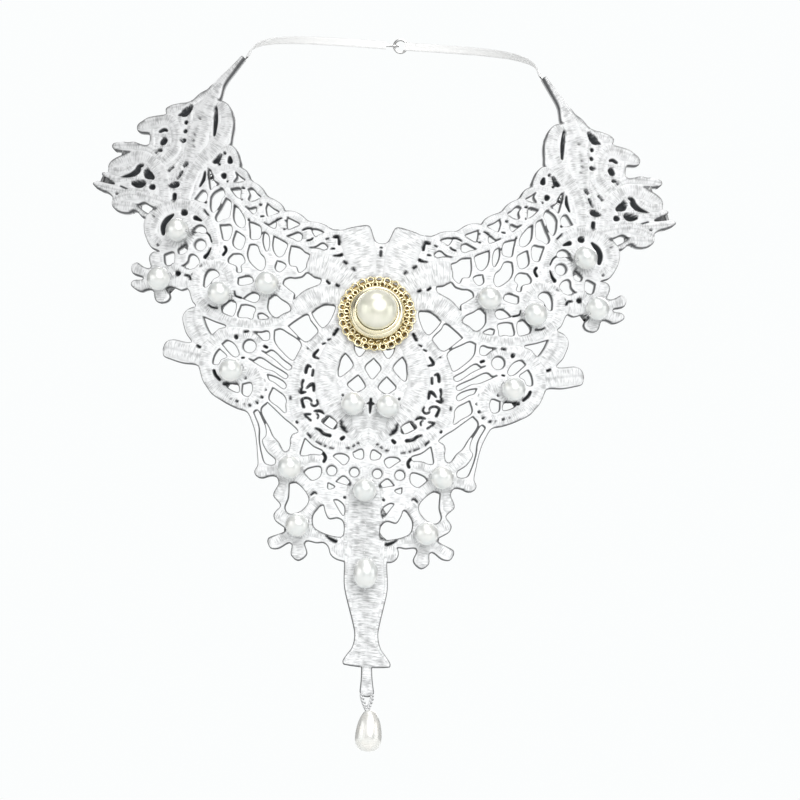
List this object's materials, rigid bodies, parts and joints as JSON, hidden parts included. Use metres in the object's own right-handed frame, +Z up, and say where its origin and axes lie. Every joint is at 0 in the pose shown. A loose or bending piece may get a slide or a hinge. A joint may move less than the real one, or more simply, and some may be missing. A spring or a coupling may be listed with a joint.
{
  "type": "lace collar",
  "caption": "White guipure lace collar worn round the neck: scrolls, flowers and leaf sprays with sewn pearls, a gilt pearl brooch at the throat and a tapering tail ending in a pearl drop",
  "frame": {"origin": "the middle of the wearer's neck, 60 mm above the middle of the brooch and about 78 mm behind it", "axes": "+Z up along the neck, -Y out of the wearer's chest, +X to the right seen from the front"},
  "size_m": [0.2028, 0.1741, 0.2441],
  "materials": {
    "lace": "white satin-stitched cotton lace",
    "pearl": "pearl lustre",
    "gilt": "gilt, aged in the hollows",
    "ribbon": "white woven ribbon",
    "wire": "bright nickel wire"
  },
  "bodies": {
    "root": {"lace_front": "lace", "lace_spray_left": "lace", "lace_spray_right": "lace", "neck_ribbon_left": "ribbon", "neck_ribbon_right": "ribbon", "clasp_hook": "wire", "clasp_eye": "wire", "pearl_upper_scroll_left": "pearl", "pearl_upper_scroll_right": "pearl", "pearl_outer_star_left": "pearl", "pearl_outer_star_right": "pearl", "pearl_middle_scroll_left": "pearl", "pearl_middle_scroll_right": "pearl", "pearl_net_star_left": "pearl", "pearl_net_star_right": "pearl", "pearl_lower_scroll_left": "pearl", "pearl_lower_scroll_right": "pearl", "pearl_medallion_left": "pearl", "pearl_medallion_right": "pearl", "pearl_upper_lower_star_left": "pearl", "pearl_upper_lower_star_right": "pearl", "pearl_tail_star_left": "pearl", "pearl_tail_star_right": "pearl", "pearl_centre": "pearl", "pearl_oval": "pearl", "brooch_filigree": "gilt", "brooch_bezel": "gilt", "brooch_pearl": "pearl", "drop_pearl": "pearl"}
  },
  "joints": []
}
